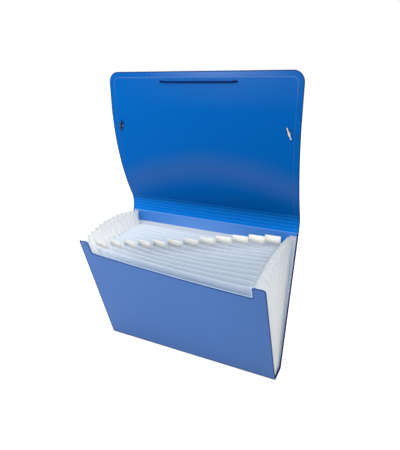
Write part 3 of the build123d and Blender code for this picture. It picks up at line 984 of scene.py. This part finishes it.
class ACCORDION_OT_creases(Operator):
    """Add the thin webs that join the panels of the cover at its score lines"""

    bl_idname = "accordion.creases"
    bl_label = "Creases"

    def execute(self, context):
        sizes, colours = file_settings(context)
        pale = crease_material("crease_pale", colours.crease)
        faint = crease_material("crease_faint", colours.crease_faint)
        # Painted shade: the creases at the base take the dark edge colour
        dark = crease_material("crease_shade", colours.cover_edge_shade)
        forward = Vector((0, -1, 0))
        front_score, back_score = hinges["front_fold"], hinges["back_fold"]
        front, back = along(sizes.front_lean), along(sizes.back_lean)
        self.add_web(sizes, dark, "crease_front", front_score, forward, front, ("base", "front"))
        self.add_web(sizes, dark, "crease_back", back_score, -forward, back, ("base", "back"))
        score = hinges["spine_fold"].copy()
        leans = [sizes.back_lean] + [radians(lean) for lean in strip_leans] + [sizes.flap_first_lean]
        bodies = ["back"] + ["spine"] * len(strip_leans) + ["flap"]
        for number, (below, above) in enumerate(zip(leans, leans[1:]), start=1):
            pair = (bodies[number - 1], bodies[number])
            material, name = pale if number == 1 else faint, f"crease_spine_{number}"
            self.add_web(sizes, material, name, score, along(below), along(above), pair)
            score = score + along(above) * sizes.strip_width
        return {"FINISHED"}

    def add_web(self, sizes, material, name, score, into, onward, bodies):
        start = score - into * sizes.crease_reach
        end = score + onward * sizes.crease_reach
        points = [start, score.lerp(start, 0.5), score, score.lerp(end, 0.5), end]
        shape = ribbon([(p.y, p.z) for p in points], sizes.half_width - crease_inset, slices=12)
        first, second = bodies
        riding = first if first == second else None
        web = add_piece(name, shape, [material], riding, "cover_sheet", sizes.crease_web, sharp=80)
        if first != second:
            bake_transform(web)


class ACCORDION_OT_dividers(Operator):
    """Hang the frosted film dividers in the fan"""

    bl_idname = "accordion.dividers"
    bl_label = "Dividers"

    def execute(self, context):
        sizes, colours = file_settings(context)
        material = film_material("divider_film", colours.film, colours.film_grey_and_shade, 0.86, 0.36)
        for number in range(1, sizes.pockets):
            shape = self.cut_film(sizes)
            set_on_divider(shape, sizes, number)
            name, body, node = [f"{word}_{number:02d}" for word in ("divider_film", "pocket", "divider")]
            piece = add_piece(name, shape, [material], body, "pocket_film", sizes.film, node)
            flatten_with_fan(piece, hinge_of(number), divider_head(sizes, number), shut_divider)
        return {"FINISHED"}

    def cut_film(self, sizes):
        """Flat film with rounded upper corners and its own map, sliced fine enough to bow."""
        width, height = sizes.divider_width, sizes.divider_height
        shape = bmesh.new()
        bmesh.ops.create_grid(shape, x_segments=1, y_segments=1, size=0.5)
        shift(shape, (0, 0.5, 0))
        bmesh.ops.scale(shape, verts=shape.verts[:], vec=(width, height, 1))
        corners = [v for v in shape.verts if v.co.y > height / 2]
        bmesh.ops.bevel(
            shape, geom=corners, offset=sizes.divider_corner, offset_type="OFFSET", segments=5,
            profile=0.5, affect="VERTICES", material=-1,
        )
        upward = Vector((0, 1, 0))
        slice_panel(shape, width / 2, Vector(), upward, height)
        rim = upward * height * film_rim
        bmesh.ops.bisect_plane(shape, geom=everything(shape), plane_co=rim, plane_no=upward)
        lay_map(shape, lambda face, vert: (vert.co.x / width + 0.5, vert.co.y / height))
        return shape


class ACCORDION_OT_tabs(Operator):
    """Add a clear sleeve and a paper label on each divider"""

    bl_idname = "accordion.tabs"
    bl_label = "Tabs and labels"

    def execute(self, context):
        sizes, colours = file_settings(context)
        clear, paper = sleeve_material(colours), paper_material(colours)
        head = sizes.divider_height + sizes.tab_rise
        foot = sizes.divider_height - sizes.tab_lap
        fold = head - sleeve_fold
        label_foot = fold - sizes.label_height
        back, middle, front = sleeve_walls
        sleeve_side = [
            (foot, back), (fold, back), (head, middle),
            (fold, front), (label_foot, front), (label_foot - sleeve_seam, middle),
        ]
        label_side = [
            (label_foot, label_set),
            (label_foot + sizes.label_height / 2, label_set + label_bow),
            (fold - label_slip, label_set),
        ]
        films = (
            ("sleeve", sleeve_side, sizes.tab_width, clear, sizes.sleeve_film, "tab_sleeve", "clear_film"),
            ("paper", label_side, sizes.label_width, paper, sizes.paper, "label", "label_paper"),
        )
        reach = sizes.divider_width / 2 - sizes.tab_end_inset
        for number in range(1, sizes.pockets):
            place = reach * (2 * (number - 1) / (sizes.pockets - 2) - 1)
            lift = across(lean_at(sizes, number / sizes.pockets)) * middle
            ends = hinge_of(number) + lift, divider_head(sizes, number) + lift
            for word, side, width, material, thickness, solid, slot in films:
                shape = ribbon(side, width / 2, slices=4)
                shift(shape, (place, 0, 0))
                set_on_divider(shape, sizes, number)
                name, body, node = [f"{each}_{number:02d}" for each in (word, "pocket", solid)]
                piece = add_piece(name, shape, [material], body, slot, thickness, node)
                flatten_with_fan(piece, *ends, shut_divider)
        return {"FINISHED"}


class ACCORDION_OT_gussets(Operator):
    """Fold the pleated film at both sides of the pockets"""

    bl_idname = "accordion.gussets"
    bl_label = "Gussets"

    def execute(self, context):
        sizes, colours = file_settings(context)
        film = pleat_material(colours)
        weld = flange_material(colours)
        last = sizes.pockets - 1
        for side, word in ((-1, "left"), (1, "right")):
            node = f"{word}_gusset"
            for number in range(1, sizes.pockets):
                near = 0 if number == 1 else (number - 0.5) / sizes.pockets
                far = 1 if number == last else (number + 0.5) / sizes.pockets
                keep = shut_cover if number in (1, last) else shut_pleat
                for arm, half in ((near, "near"), (far, "far")):
                    shape = self.fold_film(sizes, side, number / sizes.pockets, arm)
                    name, body = f"pleat_{word}_{number:02d}_{half}", f"pocket_{number:02d}"
                    material = weld if arm == 1 else film
                    piece = add_piece(name, shape, [material], body, "pocket_film", sizes.pleat_film, node)
                    foot = hinge_of(number).lerp(self.fold_point(sizes, arm, 0, 0), fold_share)
                    flatten_with_fan(piece, foot, divider_head(sizes, number), keep)
            for place, body in ((0, "front"), (1, "back")):
                shape = self.cut_flange(sizes, side, place)
                name = f"flange_{word}_{body}"
                piece = add_piece(name, shape, [weld], body, "pocket_film", sizes.pleat_film, node)
                if body == "front":
                    ends = [self.fold_point(sizes, 0, 0, height) for height in (0, sizes.front_rise)]
                    flatten_with_fan(piece, *ends, shut_cover)
        return {"FINISHED"}

    def rise_at(self, sizes, place, side):
        """Height of the outer folds at a place in the fan."""
        rise = sizes.front_rise + (sizes.back_rise - sizes.front_rise) * place
        if side > 0:
            return rise - sizes.pleat_drop * max(place - drop_start, 0) / (1 - drop_start)
        return rise + sizes.pleat_lift * sin(pi * place)

    def fold_point(self, sizes, place, x, height):
        """Point at a height up the fold at a place in the fan."""
        lean = lean_at(sizes, place, x)
        start = hinges["front_fold"].lerp(hinges["back_fold"], place)
        start = Vector((x, start.y, hinge_of(1).z))
        cover_side = {0: -1, 1: 1}.get(place, 0)
        inward = across(lean) * cover_side * (sizes.half_sheet + flange_seat * sizes.pleat_film)
        return start + inward + along(lean) * height

    def fold_film(self, sizes, side, middle, arm):
        """Panel of a pleat from the inner fold at a divider to an outer fold, from a grid cut down inside."""
        shape = bmesh.new()
        bmesh.ops.create_grid(shape, x_segments=pleat_slices[0], y_segments=pleat_slices[1], size=0.5)
        shift(shape, (0.5, 0.5, 0))
        lay_map(shape, lambda face, vert: (middle + (arm - middle) * vert.co.x, vert.co.y))
        depth = sizes.pleat_outside - sizes.pleat_inside
        low, high = sizes.divider_height, self.rise_at(sizes, arm, side)
        for vert in shape.verts:
            reach, up = vert.co.xy
            inset = max(sizes.pleat_corner - (1 - reach) * depth, 0)
            drop = sizes.pleat_corner - sqrt(sizes.pleat_corner**2 - inset**2)
            slope = min(reach * depth / (depth - sizes.pleat_level), 1)
            height = max((low + (high - low) * slope - drop) * up, pleat_foot)
            belly = sizes.pleat_belly * sin(pi * arm) * up**2 if side < 0 else 0
            inner = self.fold_point(sizes, middle, side * sizes.pleat_inside, height)
            outer = self.fold_point(sizes, arm, side * (sizes.pleat_outside + belly), height)
            swell = across(lean_at(sizes, middle)) * sizes.pleat_bow * sin(pi * reach) * up
            vert.co = inner.lerp(outer, reach) + swell * (1 if arm < middle else -1)
        return shape

    def cut_flange(self, sizes, side, place):
        """Strip of film welded on the inside of a cover panel."""
        inner, outer = side * (sizes.pleat_outside - sizes.flange_width), side * sizes.pleat_outside
        top = self.rise_at(sizes, place, side)
        corners = ((inner, 0), (outer, 0), (outer, top), (inner, top))
        shape = bmesh.new()
        shape.faces.new([shape.verts.new(self.fold_point(sizes, place, *corner)) for corner in corners])
        bmesh.ops.subdivide_edges(shape, edges=shape.edges[:], cuts=3, use_grid_fill=True)
        return shape


class ACCORDION_PT_sidebar(Panel):
    """Lists the steps that build the file"""

    bl_idname = "ACCORDION_PT_sidebar"
    bl_label = "Accordion File"
    bl_space_type = "VIEW_3D"
    bl_region_type = "UI"
    bl_category = "Accordion File"

    def draw(self, context):
        for step in steps:
            self.layout.operator(step.bl_idname)
        for group in groups:
            settings = getattr(context.scene, group)
            box = self.layout.box()
            for name in settings.__annotations__:
                box.prop(settings, name)


steps = (
    ACCORDION_OT_stage,
    ACCORDION_OT_elastic,
    ACCORDION_OT_cover,
    ACCORDION_OT_creases,
    ACCORDION_OT_dividers,
    ACCORDION_OT_tabs,
    ACCORDION_OT_gussets,
)
groups = {"accordion_sizes": FileSizes, "accordion_colours": FileColours, "accordion_stage": StageSettings}


def register():
    for name, group in groups.items():
        bpy.utils.register_class(group)
        setattr(bpy.types.Scene, name, PointerProperty(type=group))
    for step in steps:
        bpy.utils.register_class(step)
    bpy.utils.register_class(ACCORDION_PT_sidebar)


def unregister():
    bpy.utils.unregister_class(ACCORDION_PT_sidebar)
    for step in reversed(steps):
        bpy.utils.unregister_class(step)
    for name, group in groups.items():
        delattr(bpy.types.Scene, name)
        bpy.utils.unregister_class(group)


def main():
    register()
    bpy.ops.accordion.stage()
    bpy.ops.accordion.elastic()
    bpy.ops.accordion.cover()
    bpy.ops.accordion.creases()
    bpy.ops.accordion.dividers()
    bpy.ops.accordion.tabs()
    bpy.ops.accordion.gussets()


if __name__ == "__main__":
    main()
